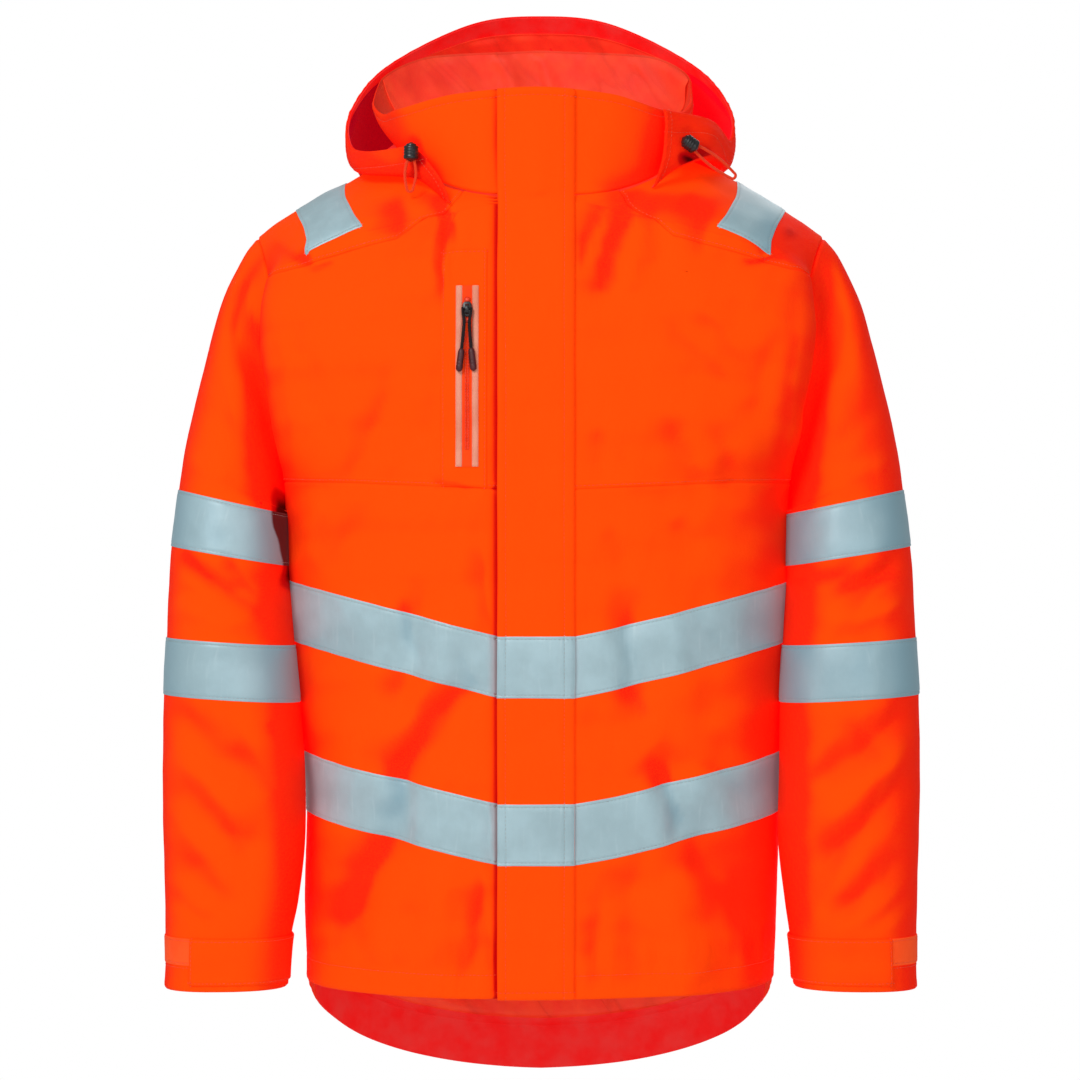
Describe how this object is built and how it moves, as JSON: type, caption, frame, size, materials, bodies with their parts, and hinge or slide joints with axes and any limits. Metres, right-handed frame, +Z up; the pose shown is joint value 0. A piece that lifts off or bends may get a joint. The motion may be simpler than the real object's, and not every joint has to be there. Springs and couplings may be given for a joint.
{
  "type": "hi-vis work jacket",
  "caption": "Hooded high-visibility work jacket with storm flap, reflective bands, chest zip pocket and cuff tabs, held in its worn shape with nobody in it.",
  "frame": {"origin": "centre of the neck base, where the collar meets the body, on the wearer's axis", "axes": "+Z up, -Y to the wearer's front, +X to the wearer's left"},
  "size_m": [0.6412, 0.379, 0.9398],
  "materials": {
    "shell": "fluorescent orange-red woven polyester, matt",
    "reflective_tape": "silver-grey retroreflective tape",
    "facing": "red-orange shell cloth seen from inside",
    "lining": "thin satin taffeta",
    "grip": "paler hook-and-loop strip",
    "zip_black": "black moulded plastic"
  },
  "bodies": {
    "jacket": {"back": "shell", "back_lining": "lining", "collar": "shell", "collar_lining": "lining", "cord_lock_left": "zip_black", "cord_lock_right": "zip_black", "cuff_grip_left": "grip", "cuff_grip_right": "grip", "cuff_tab_left": "shell", "cuff_tab_right": "shell", "elastic_loop_left": "shell", "elastic_loop_right": "shell", "front_lower_left": "shell", "front_lower_right": "shell", "front_upper_left": "shell", "front_upper_right": "shell", "front_zip": "zip_black", "hood": "shell", "hood_facing": "facing", "hood_lining": "lining", "pocket_patch": "shell", "pocket_piping_inner": "reflective_tape", "pocket_piping_outer": "reflective_tape", "pocket_zip": "facing", "sleeve_left": "shell", "sleeve_right": "shell", "storm_flap": "shell", "tail_facing": "facing", "tape_back_lower": "reflective_tape", "tape_back_upper": "reflective_tape", "tape_flap_lower": "reflective_tape", "tape_flap_upper": "reflective_tape", "tape_front_lower_left": "reflective_tape", "tape_front_lower_right": "reflective_tape", "tape_front_upper_left": "reflective_tape", "tape_front_upper_right": "reflective_tape", "tape_shoulder_left": "reflective_tape", "tape_shoulder_right": "reflective_tape", "tape_sleeve_lower_left": "reflective_tape", "tape_sleeve_lower_right": "reflective_tape", "tape_sleeve_upper_left": "reflective_tape", "tape_sleeve_upper_right": "reflective_tape", "yoke_left": "shell", "yoke_right": "shell", "zip_slider": "zip_black"},
    "pocket_pull": {"zip_pull": "zip_black"}
  },
  "joints": [
    {"name": "pocket_pull_hinge", "type": "hinge", "parent": "jacket", "child": "pocket_pull", "pos_m": [-0.06134, -0.13439, -0.10608], "axis": [-1, 0, 0], "range_deg": [0, 150]}
  ]
}
